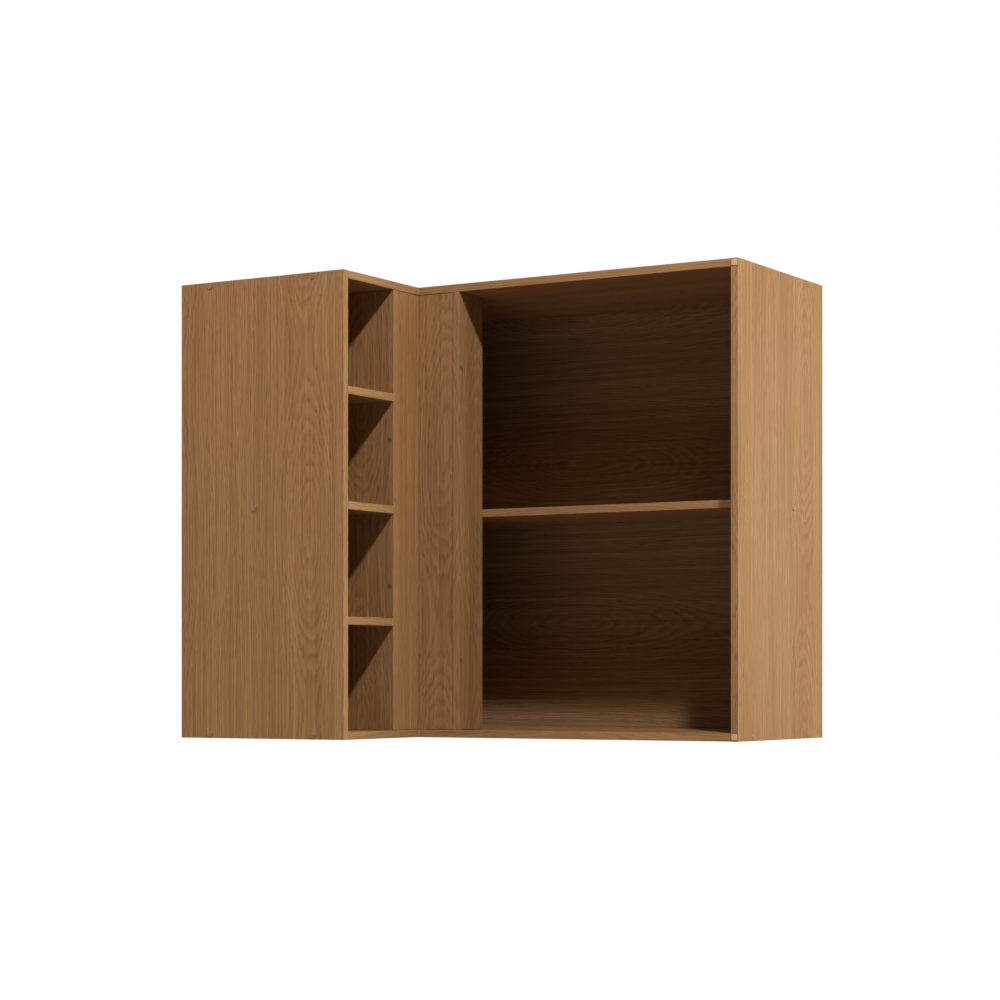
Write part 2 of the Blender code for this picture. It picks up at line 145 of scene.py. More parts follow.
def make_piece(name, vertices, faces, materials):
    """Puts an array of vertices and a list of faces into a new object at the origin."""
    mesh = bpy.data.meshes.new(name)
    mesh.from_pydata(vertices.tolist(), [], faces)
    for material in materials:
        mesh.materials.append(material)
    mesh.update()
    piece = bpy.data.objects.new(name, mesh)
    bpy.context.scene.collection.objects.link(piece)
    return piece


def place_on(node, piece):
    """Puts a finished piece in its node's stead, on the only body."""
    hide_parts(node)
    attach(piece, "root")


def shade_round(piece):
    """Smooth shading, but for edges sharper than 40 degrees."""
    piece.data.shade_smooth()
    piece.data.set_sharp_from_angle(angle=math.radians(40))


def grid_faces(rows, columns):
    """Quads between neighbouring rings of a grid whose rings are closed."""
    row, column = np.meshgrid(np.arange(rows - 1), np.arange(columns), indexing="ij")
    here = row * columns + column
    beside = row * columns + (column + 1) % columns
    quads = np.stack([here, beside, beside + columns, here + columns], axis=-1)
    return quads.reshape(-1, 4).tolist()


# ---------------------------------------------------------------- materials


def oak_figure(tree, place):
    """Flat-sawn oak from a place (along the grain, across it): a tone round 0.5, and pores from 0 to 1.

    A saw cut runs some way from the tree's heart line, and that depth swells and shrinks along the plank.
    Rings are the whole steps of the distance to the heart, the root of across squared plus depth squared,
    so they stand in nested arches over the heart line and in straight lines at the sides.
    """

    def drift(long, wide, lift, detail=2.0, roughness=0.5):
        """A soft random drift in shapes about this long and wide, in metres. lift picks another drift."""
        shapes = {0: place, 1: (1 / long, 1 / wide, 0), 2: (0, 0, lift)}
        spot = add(tree, "ShaderNodeVectorMath", shapes, operation="MULTIPLY_ADD")
        inputs = {"Vector": spot, "Scale": 1.0, "Detail": detail, "Roughness": roughness}
        return add(tree, "ShaderNodeTexNoise", inputs).outputs["Fac"]

    split = add(tree, "ShaderNodeSeparateXYZ", {0: place})
    along, across = split.outputs[0], split.outputs[1]

    # How far a point lies to the side of the heart line, which wanders by up to 25 mm and recurs each plank.
    terms = {0: drift(625 * MM, math.inf, 1.3), 1: 50 * MM, 2: across}
    side = add(tree, "ShaderNodeMath", terms, operation="MULTIPLY_ADD")
    terms = {0: side, 1: 25 * MM + PLANK / 2, 2: 25 * MM - PLANK / 2}
    side = add(tree, "ShaderNodeMath", terms, operation="WRAP")
    side = add(tree, "ShaderNodeMath", {0: side, 1: 25 * MM}, operation="SUBTRACT")

    # How deep the heart lies.
    swell = add(tree, "ShaderNodeMath", {0: along, 1: 2 * PI / EYE}, operation="MULTIPLY")
    swell = add(tree, "ShaderNodeMath", {0: swell}, operation="COSINE")
    depth = add(tree, "ShaderNodeMath", {0: swell, 1: -17 * MM, 2: 24 * MM}, operation="MULTIPLY_ADD")
    terms = {0: drift(333 * MM, 333 * MM, 5.1), 1: 22 * MM, 2: depth}
    depth = add(tree, "ShaderNodeMath", terms, operation="MULTIPLY_ADD")

    # The distance to the heart, roughened from the size of a hand to that of a fibre.
    side_squared = add(tree, "ShaderNodeMath", {0: side, 1: side}, operation="MULTIPLY")
    depth_squared = add(tree, "ShaderNodeMath", {0: depth, 1: depth}, operation="MULTIPLY")
    heart = add(tree, "ShaderNodeMath", {0: side_squared, 1: depth_squared}, operation="ADD")
    heart = add(tree, "ShaderNodeMath", {0: heart, 1: 0.5}, operation="POWER")
    terms = {0: drift(385 * MM, 77 * MM, 7.7, 1.0), 1: 22 * MM, 2: heart}
    heart = add(tree, "ShaderNodeMath", terms, operation="MULTIPLY_ADD")
    terms = {0: drift(71 * MM, 17 * MM, 2.9), 1: 4.5 * MM, 2: heart}
    heart = add(tree, "ShaderNodeMath", terms, operation="MULTIPLY_ADD")

    # How far out in an arch the point lies: 0 over the heart line, near 1 at the sides.
    arch = add(tree, "ShaderNodeMath", {0: side}, operation="ABSOLUTE")
    arch = add(tree, "ShaderNodeMath", {0: arch, 1: heart}, operation="DIVIDE")

    # Each ring goes from dark late wood to pale early wood, and some rings are bolder than others.
    terms = {0: drift(29 * MM, 1.9 * MM, 8.3), 1: 5.0 * MM, 2: heart}
    heart = add(tree, "ShaderNodeMath", terms, operation="MULTIPLY_ADD")
    count = add(tree, "ShaderNodeMath", {0: heart, 1: RING}, operation="DIVIDE")
    which = add(tree, "ShaderNodeMath", {0: count}, operation="FLOOR")
    within = add(tree, "ShaderNodeMath", {0: count}, operation="FRACT")
    ring = add(tree, "ShaderNodeValToRGB", {0: within})
    set_ramp(ring, [(0.0, gray(0.55)), (0.10, gray(0.0)), (0.30, gray(0.55)), (0.75, gray(1.0))])
    bold = add(tree, "ShaderNodeTexWhiteNoise", {"W": which}, noise_dimensions="1D").outputs["Value"]
    bold = add(tree, "ShaderNodeMath", {0: bold, 1: 0.40, 2: 0.07}, operation="MULTIPLY_ADD")
    boost = add(tree, "ShaderNodeMath", {0: arch, 1: 0.35, 2: 0.65}, operation="MULTIPLY_ADD")
    bold = add(tree, "ShaderNodeMath", {0: bold, 1: boost}, operation="MULTIPLY")
    tone = add(tree, "ShaderNodeMath", {0: ring, 1: 0.62}, operation="SUBTRACT")
    tone = add(tree, "ShaderNodeMath", {0: tone, 1: bold}, operation="MULTIPLY")

    # Fibre streaks 3 mm wide and broad bands 42 mm wide over the rings.
    terms = {0: drift(250 * MM, 3.0 * MM, 4.4, 2.0, 0.6), 1: 0.70, 2: tone}
    tone = add(tree, "ShaderNodeMath", terms, operation="MULTIPLY_ADD")
    terms = {0: drift(833 * MM, 42 * MM, 9.2), 1: 0.40, 2: tone}
    tone = add(tree, "ShaderNodeMath", terms, operation="MULTIPLY_ADD")
    tone = add(tree, "ShaderNodeMath", {0: tone, 1: 0.05}, operation="SUBTRACT")

    # Pores are ticks 17 mm long and 0.8 mm wide, twice as wide as real so that they show.
    ticks = drift(17 * MM, 0.77 * MM, 6.6, 1.0)
    pores = add(tree, "ShaderNodeMapRange", {0: ticks, 1: 0.58, 2: 0.68})
    crowd = add(tree, "ShaderNodeMath", {0: within, 1: 0.4}, operation="LESS_THAN")
    crowd = add(tree, "ShaderNodeMath", {0: crowd, 1: 0.6, 2: 0.4}, operation="MULTIPLY_ADD")
    pores = add(tree, "ShaderNodeMath", {0: pores, 1: crowd}, operation="MULTIPLY")
    return tone, pores


def finish_oak(tree, shader, place, colors, pore_color, roughness):
    """Colours, gloss and emboss of a printed oak surface."""
    tone, pores = oak_figure(tree, place)
    wood = add(tree, "ShaderNodeValToRGB", {0: tone})
    set_ramp(wood, [(0.15, linear(colors[0])), (0.5, linear(colors[1])), (0.85, linear(colors[2]))])
    strength = add(tree, "ShaderNodeMath", {0: pores, 1: 0.4}, operation="MULTIPLY")
    mixed = add(tree, "ShaderNodeMix", {0: strength, 6: wood, 7: linear(pore_color)}, data_type="RGBA")
    tree.links.new(mixed.outputs[2], shader.inputs["Base Color"])
    gloss = add(tree, "ShaderNodeMapRange", {0: tone, 3: roughness + 0.06, 4: roughness - 0.06})
    tree.links.new(gloss.outputs[0], shader.inputs["Roughness"])
    shader.inputs["Specular IOR Level"].default_value = 0.2
    height = add(tree, "ShaderNodeMath", {0: pores, 1: -1.0, 2: 1.0}, operation="MULTIPLY_ADD")
    relief = add(tree, "ShaderNodeBump", {"Height": height, "Strength": 0.35, "Distance": 0.08 * MM})
    tree.links.new(relief.outputs[0], shader.inputs["Normal"])


def oak_melamine():
    """Oak-print melamine pressed on particle board. The eye sees honey-brown oak under a dry satin skin.

    The press plate leaves fine pores in it, which catch a little light.
    """
    made, tree, shader = new_material("oak_print_melamine_pressed")
    place = add(tree, "ShaderNodeUVMap", uv_map="grain").outputs[0]
    finish_oak(tree, shader, place, ("#7F5631", "#9D6F47", "#B68960"), "#5E3D21", 0.52)
    return made


def oak_edge_band():
    """Printed ABS edge band, ironed on and scraped. It shows the same oak, paler and smoother."""
    made, tree, shader = new_material("oak_print_edge_band_ironed")
    place = add(tree, "ShaderNodeUVMap", uv_map="grain").outputs[0]
    finish_oak(tree, shader, place, ("#855E38", "#A2744C", "#B68A61"), "#66452A", 0.45)
    return made


def hardboard_back(name, along, through, room_side):
    """Thin pressed hardboard: oak foil on the room's side, raw brown fibre on the wall's side and the edges.

    The foil is lacquered and shows grain along the wall. Raw fibre is dry, darker and speckled, with clots of
    fibre about 1 mm across, drawn 2.4 mm across so that they show. The foil is on the face that lies on the
    plane room_side.
    """
    made, tree, shader = new_material(name)
    spot = add(tree, "ShaderNodeTexCoord").outputs["Object"]
    split = add(tree, "ShaderNodeSeparateXYZ", {0: spot})
    up = add(tree, "ShaderNodeMath", {0: split.outputs[Z], 1: BACK_EYE_HEIGHT}, operation="ADD")
    place = add(tree, "ShaderNodeCombineXYZ", {0: split.outputs[along], 1: up}).outputs[0]
    finish_oak(tree, shader, place, ("#7C5A38", "#99734E", "#B08D69"), "#5C4026", 0.55)
    foil = shader.inputs["Base Color"].links[0].from_socket
    inputs = {"Vector": spot, "Scale": 1 / (2.4 * MM), "Detail": 4.0, "Roughness": 0.7}
    grit = add(tree, "ShaderNodeTexNoise", inputs).outputs["Fac"]
    inputs = {"Vector": spot, "Scale": 1 / (33 * MM), "Detail": 3.0}
    cloud = add(tree, "ShaderNodeTexNoise", inputs).outputs["Fac"]
    terms = {0: cloud, 1: 0.12, 2: grit}
    speckle = add(tree, "ShaderNodeMath", terms, operation="MULTIPLY_ADD")
    fibre = add(tree, "ShaderNodeValToRGB", {0: speckle})
    set_ramp(fibre, [(0.36, linear("#533822")), (0.56, linear("#6E4C30")), (0.78, linear("#8A6443"))])
    terms = {0: split.outputs[through], 1: room_side, 2: 0.15 * MM}
    printed = add(tree, "ShaderNodeMath", terms, operation="COMPARE")
    mixed = add(tree, "ShaderNodeMix", {0: printed, 6: fibre, 7: foil}, data_type="RGBA")
    tree.links.new(mixed.outputs[2], shader.inputs["Base Color"])
    return made


def wood_plastic():
    """Polypropylene dyed to the board's brown and moulded: a matt, faintly mottled skin."""
    made, tree, shader = new_material("wood_brown_plastic_moulded")
    spot = add(tree, "ShaderNodeTexCoord").outputs["Object"]
    inputs = {"Vector": spot, "Scale": 1 / (2.5 * MM), "Detail": 3.0}
    mottle = add(tree, "ShaderNodeTexNoise", inputs).outputs["Fac"]
    shade = add(tree, "ShaderNodeValToRGB", {0: mottle})
    set_ramp(shade, [(0.3, linear("#8A6039")), (0.7, linear("#9E7147"))])
    tree.links.new(shade.outputs[0], shader.inputs["Base Color"])
    shader.inputs["Roughness"].default_value = 0.42
    return made


def zinc_steel():
    """Steel, zinc-plated in a barrel: pale grey metal with a cloudy haze, in patches about 4 mm across."""
    made, tree, shader = new_material("steel_zinc_plated")
    spot = add(tree, "ShaderNodeTexCoord").outputs["Object"]
    inputs = {"Vector": spot, "Scale": 1 / (4 * MM), "Detail": 4.0}
    cloud = add(tree, "ShaderNodeTexNoise", inputs).outputs["Fac"]
    shade = add(tree, "ShaderNodeValToRGB", {0: cloud})
    set_ramp(shade, [(0.3, linear("#A9ABAD")), (0.7, linear("#C9CBCC"))])
    tree.links.new(shade.outputs[0], shader.inputs["Base Color"])
    shader.inputs["Metallic"].default_value = 1.0
    gloss = add(tree, "ShaderNodeMapRange", {0: cloud, 1: 0.3, 2: 0.7, 3: 0.42, 4: 0.29})
    tree.links.new(gloss.outputs[0], shader.inputs["Roughness"])
    return made


def brown_lacquer():
    """Steel screws stoved in brown lacquer to go with the print: smooth, dark, with a low gloss."""
    made, tree, shader = new_material("brown_lacquer_on_steel")
    spot = add(tree, "ShaderNodeTexCoord").outputs["Object"]
    inputs = {"Vector": spot, "Scale": 1 / (1.4 * MM), "Detail": 2.0}
    haze = add(tree, "ShaderNodeTexNoise", inputs).outputs["Fac"]
    shade = add(tree, "ShaderNodeValToRGB", {0: haze})
    set_ramp(shade, [(0.3, linear("#5C3D24")), (0.7, linear("#71502F"))])
    tree.links.new(shade.outputs[0], shader.inputs["Base Color"])
    shader.inputs["Roughness"].default_value = 0.38
    return made


def beech_dowel():
    """Turned beech: pale and dry, with short flecks about 1 mm across."""
    made, tree, shader = new_material("beech_turned")
    spot = add(tree, "ShaderNodeTexCoord").outputs["Object"]
    inputs = {"Vector": spot, "Scale": 1 / (1.1 * MM), "Detail": 2.0}
    fleck = add(tree, "ShaderNodeTexNoise", inputs).outputs["Fac"]
    shade = add(tree, "ShaderNodeValToRGB", {0: fleck})
    set_ramp(shade, [(0.35, linear("#B58B5E")), (0.65, linear("#CDA87A"))])
    tree.links.new(shade.outputs[0], shader.inputs["Base Color"])
    shader.inputs["Roughness"].default_value = 0.7
    return made


def pad_felt():
    """Pressed felt: pale beige and quite matt. Its fibres are drawn 0.5 mm wide so that they show."""
    made, tree, shader = new_material("beige_felt_pressed")
    spot = add(tree, "ShaderNodeTexCoord").outputs["Object"]
    inputs = {"Vector": spot, "Scale": 1 / (0.55 * MM), "Detail": 4.0}
    fibre = add(tree, "ShaderNodeTexNoise", inputs).outputs["Fac"]
    shade = add(tree, "ShaderNodeValToRGB", {0: fibre})
    set_ramp(shade, [(0.3, linear("#C49A70")), (0.7, linear("#DDB78D"))])
    tree.links.new(shade.outputs[0], shader.inputs["Base Color"])
    shader.inputs["Roughness"].default_value = 0.85
    relief = add(tree, "ShaderNodeBump", {"Height": fibre, "Strength": 0.6, "Distance": 0.1 * MM})
    tree.links.new(relief.outputs[0], shader.inputs["Normal"])
    return made


MELAMINE = oak_melamine()
EDGE_BAND = oak_edge_band()
CAP_PLASTIC = wood_plastic()
BRIGHT_ZINC = zinc_steel()
BROWN_LACQUER = brown_lacquer()
BEECH = beech_dowel()
FELT = pad_felt()


# ---------------------------------------------------------------- boards


def outline_ring(outline, inset, corner):
    """One ring round a right-angled outline, moved inwards by inset, with an arc at each corner.

    outline lists (x, y, turn) anticlockwise, where turn is 1 at an outer corner and -1 at an inner one.
    An arc's centre stays put, so its radius shrinks by the inset at an outer corner and grows at an inner
    one.
    """
    points = np.array([(x, y) for x, y, _ in outline])
    turns = np.array([turn for _, _, turn in outline], float)
    before = points - np.roll(points, 1, axis=0)
    before /= np.linalg.norm(before, axis=1, keepdims=True)
    after = np.roll(before, -1, axis=0)
    centre = points + (after - before) * corner
    radius = corner - turns * inset
    start = np.arctan2(-after[:, 1], -after[:, 0])
    angle = start[:, None] + turns[:, None] * np.linspace(0, PI / 2, EDGE_STEPS + 1)
    arc = np.stack([np.cos(angle), np.sin(angle)], axis=-1) * radius[:, None, None]
    return (centre[:, None] + arc).reshape(-1, 2)


def slab(outline, low, high, ease, corner):
    """A flat slab: rings of its outline carried up through its thickness, with quarter rounds at both faces.

    At a face the ring has moved in by ease and up by the same, along a quarter circle.
    """
    quarter = np.linspace(0, PI / 2, EDGE_STEPS + 1)
    inset = ease * (1 - np.cos(quarter))
    rise = ease * np.sin(quarter)
    insets = np.concatenate([inset[::-1], inset])
    heights = np.concatenate([low + ease - rise[::-1], high - ease + rise])
    rings = np.stack([outline_ring(outline, i, corner) for i in insets])
    rows, columns, _ = rings.shape
    heights = np.broadcast_to(heights[:, None, None], (rows, columns, 1))
    vertices = np.concatenate([rings, heights], axis=-1).reshape(-1, 3)
    faces = grid_faces(rows, columns)
    faces.append(list(range(columns))[::-1])
    faces.append(list(range((rows - 1) * columns, rows * columns)))
    return vertices, faces


def stand(vertices, axis):
    """Turns vertices made along Z so that they run along another axis, by passing the coordinates round."""
    return np.roll(vertices, axis - Z, axis=-1)


def rectangle(low, high, axis):
    """The outline of a box seen along one axis."""
    first, second = (axis + 1) % 3, (axis + 2) % 3
    left, right, front, back = low[first], high[first], low[second], high[second]
    return [(left, front, 1), (right, front, 1), (right, back, 1), (left, back, 1)]


def lay_grain(mesh, grain, thickness, eye, heart, turn):
    """Writes the grain map: metres along and across the grain on the faces, and along each edge on its band.

    The map starts where the plank's heart line and the middle of an eye in the figure meet. turn takes
    another length of the print for each board. A side shows the face's print when its normal lies nearest
    the thickness, and the edge band's otherwise.
    """
    cross = 3 - grain - thickness
    count = len(mesh.polygons)
    normals = np.empty(count * 3)
    mesh.polygons.foreach_get("normal", normals)
    normals = normals.reshape(-1, 3)
    sizes = np.empty(count, int)
    mesh.polygons.foreach_get("loop_total", sizes)
    corners = np.empty(len(mesh.loops), int)
    mesh.loops.foreach_get("vertex_index", corners)
    places = np.empty(len(mesh.vertices) * 3)
    mesh.vertices.foreach_get("co", places)
    places = places.reshape(-1, 3)[corners]
    nearest = np.abs(normals).argmax(axis=1)
    side = np.repeat(nearest, sizes)
    underside = np.repeat(normals[:, thickness] < -0.5, sizes)
    along = np.where(side == grain, places[:, cross], places[:, grain] - eye)
    across = np.where(side == thickness, places[:, cross] - heart, places[:, thickness] + EDGE_FROM_HEART)
    along = along + np.where(underside, turn + UNDERSIDE_EYES, turn) * EYE
    uv = np.stack([along, across + turn * PLANK], axis=-1).astype(np.float32)
    mesh.uv_layers.new(name="grain").data.foreach_set("uv", uv.ravel())
    mesh.polygons.foreach_set("material_index", (nearest != thickness).astype(np.int32))
    mesh.polygons.foreach_set("use_smooth", np.abs(normals).max(axis=1) < 0.9999)
    mesh.update()


def make_board(node, grain, thickness, eye, heart, turn, outline=None, carried=None, shave=(0, 0)):
    """A board that stands for a CAD node, eased on every edge.

    The outline, a rectangle if none is given, is carried along one axis, the thickness if none is given.
    shave takes a hair off the two ends of that run.
    """
    low, high = (np.array(corner, float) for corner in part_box(node))
    carried = thickness if carried is None else carried
    outline = outline or rectangle(low, high, carried)
    start, end = low[carried] + shave[0], high[carried] - shave[1]
    vertices, faces = slab(outline, start, end, EASED_EDGE, EASED_CORNER)
    piece = make_piece(f"{node}_board", stand(vertices, carried), faces, [MELAMINE, EDGE_BAND])
    lay_grain(piece.data, grain, thickness, eye, heart, turn)
    place_on(node, piece)


BOARDS = (
    # node, grain, thickness, middle of an eye along the grain, heart line across it, length of print
    ("niche_divider", Z, Y, -0.10, -0.180, 6),
    ("corner_filler_niche", Z, X, -0.30, -0.420, 9),
    ("corner_filler_main", Z, Y, -0.174, -0.077, 12),
    ("main_stile", Z, X, -0.25, -0.250, 15),
    ("rear_corner_upright", Z, X, -0.30, -0.040, 18),
    ("niche_shelf_lower", X, Z, -0.30, -0.440, 21),
    ("niche_shelf_middle", X, Z, -0.10, -0.400, 24),
    ("niche_shelf_upper", X, Z, -0.20, -0.460, 27),
    ("main_shelf", X, Z, 0.10, -0.100, 30),
)


def rebated_ends():
    """Both end panels, each with a step along its rear edge for the edge of its back."""
    low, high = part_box("left_end_panel")
    back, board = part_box("back_panel_side"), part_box("bottom_panel")
    step_x, step_y = board[0][X], back[0][Y] - GAP
    left = [(low[X], low[Y], 1), (high[X], low[Y], 1), (high[X], high[Y], 1), (step_x, high[Y], 1)]
    left += [(step_x, step_y, -1), (low[X], step_y, 1)]
    make_board("left_end_panel", Z, Y, -0.34, -0.190, 0, left, Z)
    low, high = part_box("right_end_panel")
    step_x, step_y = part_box("back_panel_main")[1][X] + GAP, board[1][Y]
    right = [(low[X], low[Y], 1), (high[X], low[Y], 1), (high[X], high[Y], 1), (step_x, high[Y], 1)]
    right += [(step_x, step_y, -1), (low[X], step_y, 1)]
    make_board("right_end_panel", Z, X, -0.16, -0.074, 3, right, Z)


def top_and_bottom():
    """Two L-shaped boards. The outer faces are a hair low, so that the screw heads stand clear of them."""
    x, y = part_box("left_end_panel")[1][X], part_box("right_end_panel")[0][Y]
    low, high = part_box("top_panel")
    corner = [(low[X], low[Y], 1), (x, low[Y], 1), (x, y, -1), (high[X], y, 1)]
    corner += [(high[X], high[Y], 1), (low[X], high[Y], 1)]
    make_board("top_panel", X, Z, 0.05, -0.120, 33, corner, Z, (0, HEAD_PROUD))
    make_board("bottom_panel", X, Z, -0.10, -0.150, 36, corner, Z, (HEAD_PROUD, 0))


for board in BOARDS:
    make_board(*board)
rebated_ends()
top_and_bottom()

# ---------------------------------------------------------------- fittings


def turned(radius, height, relief=None, sides=SCREW_STEPS):
    """A profile (radius, height) carried round an axis, closed by a point at each end.

    relief gives a depth for each ring, radius and angle, taken off the height. The profile runs upwards.
    """
    rows = len(radius)
    angle = np.linspace(0, 2 * PI, sides, endpoint=False)
    radius, angle = np.meshgrid(radius, angle, indexing="ij")
    height = np.repeat(height, sides).reshape(rows, sides)
    if relief:
        height = height - relief(radius, angle)
    rings = np.stack([radius * np.cos(angle), radius * np.sin(angle), height], axis=-1)
    ends = np.array([(0, 0, height[0].mean()), (0, 0, height[-1].mean())])
    vertices = np.concatenate([rings.reshape(-1, 3), ends])
    here = np.arange(sides)
    beside = (here + 1) % sides
    top = (rows - 1) * sides
    first = np.full(sides, rows * sides)
    last = first + 1
    faces = grid_faces(rows, sides)
    faces += np.stack([beside, here, first], axis=-1).tolist()
    faces += np.stack([top + here, top + beside, last], axis=-1).tolist()
    return vertices, faces


def seat(name, node, shape, axis, out, face, material):
    """Seats a turned piece, made along Z, on the middle of its node, with its head facing out of a face."""
    vertices, faces = shape
    if out < 0:
        vertices = vertices * (-1, 1, -1)
    low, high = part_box(node)
    middle = (np.array(low) + np.array(high)) / 2
    middle[axis] = face
    piece = make_piece(name, stand(vertices, axis) + middle, faces, [material])
    shade_round(piece)
    place_on(node, piece)


def cover_cap(node, axis, out, face):
    """A cap with a flat middle: its height falls along a super-ellipse, from the middle out to the rim."""
    low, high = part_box(node)
    wide = (high[Z] - low[Z]) / 2
    sweep = np.linspace(PI / 2, 0, 10)
    shoulder = wide - CAP_SHOULDER + CAP_SHOULDER * np.sin(sweep) ** 1.2
    rise = CAP_PROUD * np.cos(sweep) ** 1.2
    radius = np.concatenate([[0.9 * wide, 0.98 * wide], shoulder, [0.5 * wide]])
    height = np.concatenate([[0.02 * MM, 0.0], rise, [CAP_PROUD]])
    seat(f"{node}_crown", node, turned(radius, height), axis, out, face, CAP_PLASTIC)


def cover_caps():
    """Caps over the assembly screws in both end panels."""
    left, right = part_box("left_end_panel")[0][Y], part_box("right_end_panel")[1][X]
    for node in node_names:
        if node.startswith("cap_left_"):
            cover_cap(node, Y, -1, left)
        elif node.startswith("cap_right_"):
            cover_cap(node, X, 1, right)


def cross_recess(radius, angle):
    """Depth of a cross slot: full within the arms, falling off over a short slope at their edges."""
    x, y = np.abs(radius * np.cos(angle)), np.abs(radius * np.sin(angle))
    inside = np.clip((CROSS_ARM - np.minimum(x, y)) / (0.2 * MM), 0, 1)
    reach = np.clip((CROSS_REACH - radius) / (0.9 * MM), 0, 1)
    return CROSS_DEPTH * inside * reach


def hexagon_recess(radius, angle):
    """Depth of a hexagon socket: full within the six sides, falling off over a short slope."""
    turn = np.mod(angle, PI / 3) - PI / 6
    inside = np.clip((HEXAGON_HALF - radius * np.cos(turn)) / (0.15 * MM), 0, 1)
    return HEXAGON_DEPTH * inside


def screw(node, axis, out, face, recess, material):
    """A countersunk screw: a flat head with a recess, a cone, and a shank with a thread that runs to a point.

    From the point upwards, the shank's radius rises and falls once a pitch, one turn later for each turn
    of the angle.
    """
    low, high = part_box(node)
    length = high[axis] - low[axis]
    wide = (high[(axis + 1) % 3] - low[(axis + 1) % 3]) / 2
    core = CORE_SHARE * wide
    taper = np.linspace(0.15, 0.9, 5)
    run = -np.arange(wide, length - 1.5 * core, THREAD_PITCH / 6)[::-1]
    flat = np.linspace(1, 0.06, RECESS_RINGS) * (wide - HEAD_CHAMFER)
    radius = np.concatenate([core * taper, np.full(len(run) + 1, core), [wide, wide], flat])
    neck = [0.1 * MM - wide, -HEAD_RIM, -0.12 * MM]
    height = np.concatenate([1.5 * core * taper - length, run, neck, np.zeros(RECESS_RINGS)])

    def relief(radius, angle):
        on_top = np.arange(len(radius))[:, None] >= len(radius) - RECESS_RINGS
        return np.where(on_top, recess(radius, angle), 0)

    vertices, faces = turned(radius, height, relief)
    turns = np.arctan2(vertices[:, Y], vertices[:, X]) / (2 * PI)
    wave = np.mod(vertices[:, Z] / THREAD_PITCH - turns, 1)
    threaded = (vertices[:, Z] < -1.3 * wide) & (np.hypot(vertices[:, X], vertices[:, Y]) > 0.5 * core)
    growth = 1 + np.where(threaded, THREAD_DEPTH * (1 - np.abs(2 * wave - 1)), 0)
    vertices[:, :2] *= growth[:, None]
    seat(f"{node}_threaded", node, (vertices, faces), axis, out, face + out * HEAD_PROUD, material)


def seen_screws():
    """The screws whose heads show: brown cross-head ones in the post, hexagon ones above and below."""
    divider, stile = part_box("niche_divider")[0][Y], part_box("main_stile")[1][X]
    top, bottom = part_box("top_panel")[1][Z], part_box("bottom_panel")[0][Z]
    for level in ("upper", "lower"):
        screw(f"screw_filler_niche_{level}", Y, -1, divider, cross_recess, BROWN_LACQUER)
        screw(f"screw_filler_main_{level}", X, 1, stile, cross_recess, BROWN_LACQUER)
    for post in ("divider", "upright"):
        screw(f"screw_{post}_top", Z, 1, top - HEAD_PROUD, hexagon_recess, BRIGHT_ZINC)
        screw(f"screw_{post}_bottom", Z, -1, bottom + HEAD_PROUD, hexagon_recess, BRIGHT_ZINC)


def felt_pads():
    """Square felt pads with soft corners and edges."""
    for node in ("pad_upper", "pad_lower"):
        low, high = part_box(node)
        vertices, faces = slab(rectangle(low, high, Y), low[Y], high[Y], PAD_EDGE, PAD_CORNER)
        piece = make_piece(f"{node}_felt", stand(vertices, Y), faces, [FELT])
        shade_round(piece)
        place_on(node, piece)


def drill(piece, spots, axis):
    """Cuts round holes for wall screws through a piece, along one axis."""
    box = np.array(piece.bound_box)
    reach = np.array([box[:, axis].min() - MM, box[:, axis].max() + MM])
    vertices, faces = turned(np.full(2, WALL_HOLE), reach, sides=32)
    for spot in spots:
        cutter = make_piece("drill", stand(vertices, axis) + spot, faces, [])
        cut = piece.modifiers.new("hole", "BOOLEAN")
        cut.object = cutter
        bpy.context.view_layer.update()
        depsgraph = bpy.context.evaluated_depsgraph_get()
        drilled = bpy.data.meshes.new_from_object(piece.evaluated_get(depsgraph))
        piece.modifiers.clear()
        piece.data = drilled
        bpy.data.objects.remove(cutter)


def back_sheet(node, axis, out, material, spots):
    """A back whose raw side lies a hair in, so that the nails' heads stand clear of it."""
    low, high = (np.array(corner, float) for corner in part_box(node))
    raw_side = high if out > 0 else low
    raw_side[axis] -= out * NAIL_PROUD
    vertices, faces = slab(rectangle(low, high, axis), low[axis], high[axis], SHEET_EDGE, SHEET_CORNER)
    piece = make_piece(f"{node}_sheet", stand(vertices, axis), faces, [material])
    drill(piece, spots, axis)
    place_on(node, piece)


def nail_line(start, end):
    """Points an even pitch apart between two ends, close to NAIL_PITCH."""
    start, end = np.array(start), np.array(end)
    count = max(2, round(float(np.linalg.norm(end - start)) / NAIL_PITCH) + 1)
    return start + (end - start) * np.linspace(0, 1, count)[:, None]


